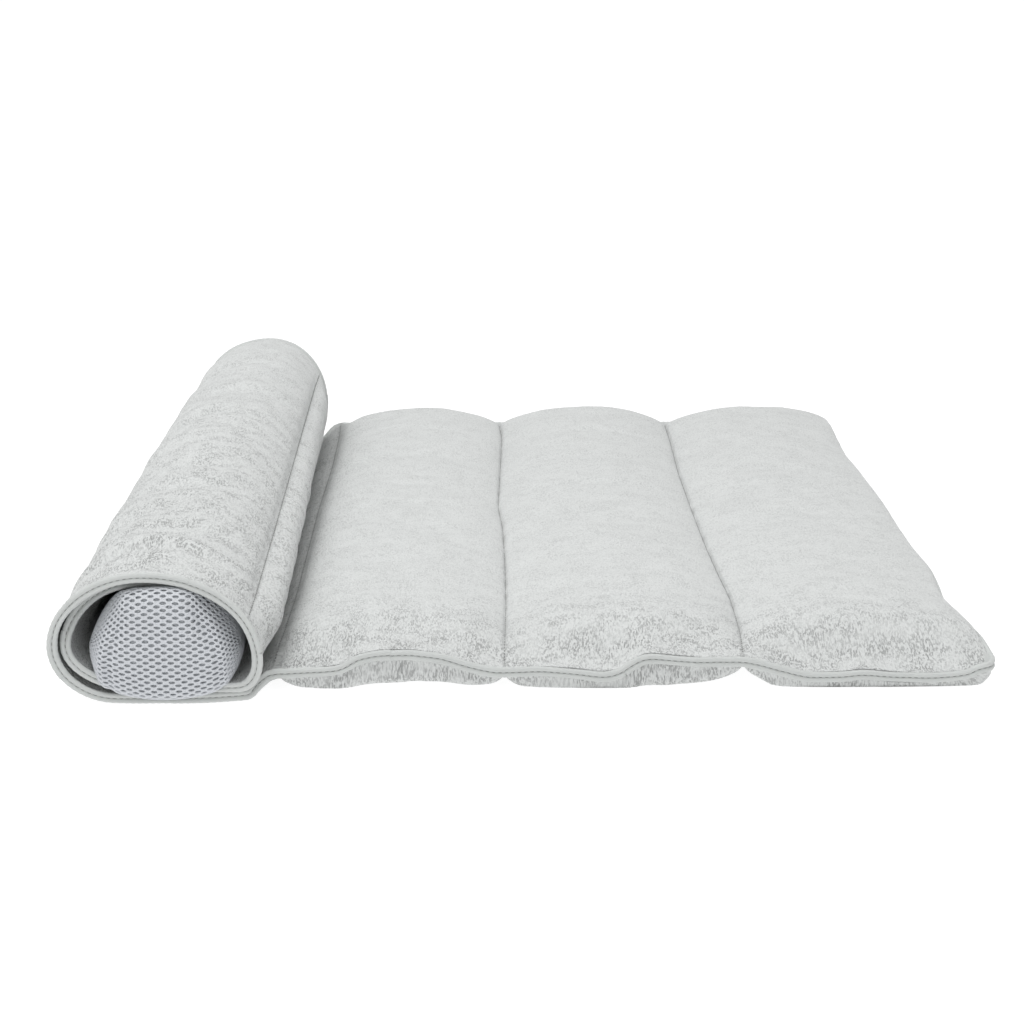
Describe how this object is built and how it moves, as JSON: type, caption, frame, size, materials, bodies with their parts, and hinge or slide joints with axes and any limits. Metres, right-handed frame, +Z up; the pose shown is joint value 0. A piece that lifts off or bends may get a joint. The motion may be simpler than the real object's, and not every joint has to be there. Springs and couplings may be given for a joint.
{
  "type": "nap futon",
  "caption": "Quilted towelling nap futon with bound edges, sewn across in padded channels, rolled up at one end round a stuffed mesh pillow.",
  "frame": {"origin": "On the floor plane, under the middle of the bounding box of the whole object at rest.", "axes": "+X along the futon from the roll towards the free end, +Y across it away from the mouth of the roll, +Z up."},
  "size_m": [0.6678, 0.7286, 0.1162],
  "materials": {
    "towelling": "pale cool grey cotton towelling with a short looped pile",
    "binding_tape": "folded double-rib edge tape, sewn through the middle",
    "batting": "white polyester wadding",
    "spacer_mesh": "open knitted spacer mesh with oval holes"
  },
  "bodies": {
    "channel_3": {"channel_3_back_cover": "towelling", "channel_3_batting": "batting", "channel_3_binding_front": "binding_tape", "channel_3_binding_rear": "binding_tape", "channel_3_face_cover": "towelling"},
    "channel_2": {"channel_2_back_cover": "towelling", "channel_2_batting": "batting", "channel_2_binding_front": "binding_tape", "channel_2_binding_rear": "binding_tape", "channel_2_face_cover": "towelling"},
    "channel_1": {"channel_1_back_cover": "towelling", "channel_1_batting": "batting", "channel_1_binding_end": "binding_tape", "channel_1_binding_front": "binding_tape", "channel_1_binding_rear": "binding_tape", "channel_1_face_cover": "towelling"},
    "channel_4a": {"channel_4a_back_cover": "towelling", "channel_4a_batting": "batting", "channel_4a_binding_front": "binding_tape", "channel_4a_binding_rear": "binding_tape", "channel_4a_face_cover": "towelling"},
    "channel_4b": {"channel_4b_back_cover": "towelling", "channel_4b_batting": "batting", "channel_4b_binding_front": "binding_tape", "channel_4b_binding_rear": "binding_tape", "channel_4b_face_cover": "towelling"},
    "channel_5a": {"channel_5a_back_cover": "towelling", "channel_5a_batting": "batting", "channel_5a_binding_front": "binding_tape", "channel_5a_binding_rear": "binding_tape", "channel_5a_face_cover": "towelling"},
    "channel_5b": {"channel_5b_back_cover": "towelling", "channel_5b_batting": "batting", "channel_5b_binding_front": "binding_tape", "channel_5b_binding_rear": "binding_tape", "channel_5b_face_cover": "towelling"},
    "channel_6a": {"channel_6a_back_cover": "towelling", "channel_6a_batting": "batting", "channel_6a_binding_front": "binding_tape", "channel_6a_binding_rear": "binding_tape", "channel_6a_face_cover": "towelling"},
    "channel_6b": {"channel_6b_back_cover": "towelling", "channel_6b_batting": "batting", "channel_6b_binding_front": "binding_tape", "channel_6b_binding_rear": "binding_tape", "channel_6b_face_cover": "towelling"},
    "channel_7a": {"channel_7a_back_cover": "towelling", "channel_7a_batting": "batting", "channel_7a_binding_front": "binding_tape", "channel_7a_binding_rear": "binding_tape", "channel_7a_face_cover": "towelling"},
    "channel_7b": {"channel_7b_back_cover": "towelling", "channel_7b_batting": "batting", "channel_7b_binding_end": "binding_tape", "channel_7b_binding_front": "binding_tape", "channel_7b_binding_rear": "binding_tape", "channel_7b_face_cover": "towelling"},
    "pillow": {"pillow_filling": "batting", "pillow_panel_bottom": "spacer_mesh", "pillow_panel_top": "spacer_mesh"}
  },
  "joints": [
    {"name": "seam_2_3", "type": "hinge", "parent": "channel_3", "child": "channel_2", "pos_m": [-0.0116, 0.01275, 0.02], "axis": [0, -1, 0], "range_deg": [0, 60]},
    {"name": "seam_1_2", "type": "hinge", "parent": "channel_2", "child": "channel_1", "pos_m": [0.1604, 0.01275, 0.02], "axis": [0, -1, 0], "range_deg": [0, 60]},
    {"name": "seam_3_4", "type": "hinge", "parent": "channel_3", "child": "channel_4a", "pos_m": [-0.1836, 0.01275, 0.02], "axis": [0, 1, 0], "range_deg": [0, 50]},
    {"name": "unroll", "type": "hinge", "parent": "channel_4a", "child": "channel_4b", "pos_m": [-0.30618, -0.00225, 0.00942], "axis": [-0.0274, -0.9996, -0.0029], "range_deg": [0, 61], "deforming": ["channel_6b_back_cover", "channel_6b_batting", "channel_6b_binding_front", "channel_6b_binding_rear", "channel_6b_face_cover", "channel_7a_back_cover", "channel_7a_batting", "channel_7a_binding_front", "channel_7a_binding_rear", "channel_7a_face_cover", "channel_7b_back_cover", "channel_7b_batting", "channel_7b_binding_end", "channel_7b_binding_front", "channel_7b_binding_rear", "channel_7b_face_cover"]},
    {"name": "unroll_seam_4_5", "type": "hinge", "parent": "channel_4b", "child": "channel_5a", "pos_m": [-0.32556, -0.00225, 0.04809], "axis": [-0.0257, -0.9996, -0.0146], "range_deg": [0, 74]},
    {"name": "unroll_middle_5", "type": "hinge", "parent": "channel_5a", "child": "channel_5b", "pos_m": [-0.26174, -0.00225, 0.10638], "axis": [-0.0177, -0.9994, -0.0299], "range_deg": [0, 81]},
    {"name": "unroll_seam_5_6", "type": "hinge", "parent": "channel_5b", "child": "channel_6a", "pos_m": [-0.19457, -0.00225, 0.05494], "axis": [0.0078, -0.9997, -0.0213], "range_deg": [0, 90]},
    {"name": "unroll_middle_6", "type": "hinge", "parent": "channel_6a", "child": "channel_6b", "pos_m": [-0.21458, -0.00225, 0.0178], "axis": [0.0063, -1, 0], "range_deg": [0, 66]},
    {"name": "unroll_seam_6_7", "type": "hinge", "parent": "channel_6b", "child": "channel_7a", "pos_m": [-0.31198, -0.00225, 0.04996], "axis": [-0.0257, -0.9996, -0.0153], "range_deg": [0, 130]},
    {"name": "unroll_middle_7", "type": "hinge", "parent": "channel_7a", "child": "channel_7b", "pos_m": [-0.26567, -0.00225, 0.09248], "axis": [-0.0184, -0.9994, -0.0298], "range_deg": [0, 62]},
    {"name": "pillow_slide", "type": "slide", "parent": "channel_4a", "child": "pillow", "axis": [0, -1, 0], "range_m": [0, 0.3]}
  ],
  "couplings": [
    {"joint": "unroll_seam_4_5", "follows": "unroll", "ratio": 1.2131},
    {"joint": "unroll_middle_5", "follows": "unroll", "ratio": 1.3279},
    {"joint": "unroll_seam_5_6", "follows": "unroll", "ratio": 1.4754},
    {"joint": "unroll_middle_6", "follows": "unroll", "ratio": 1.082},
    {"joint": "unroll_seam_6_7", "follows": "unroll", "ratio": 2.1311},
    {"joint": "unroll_middle_7", "follows": "unroll", "ratio": 1.0164}
  ]
}
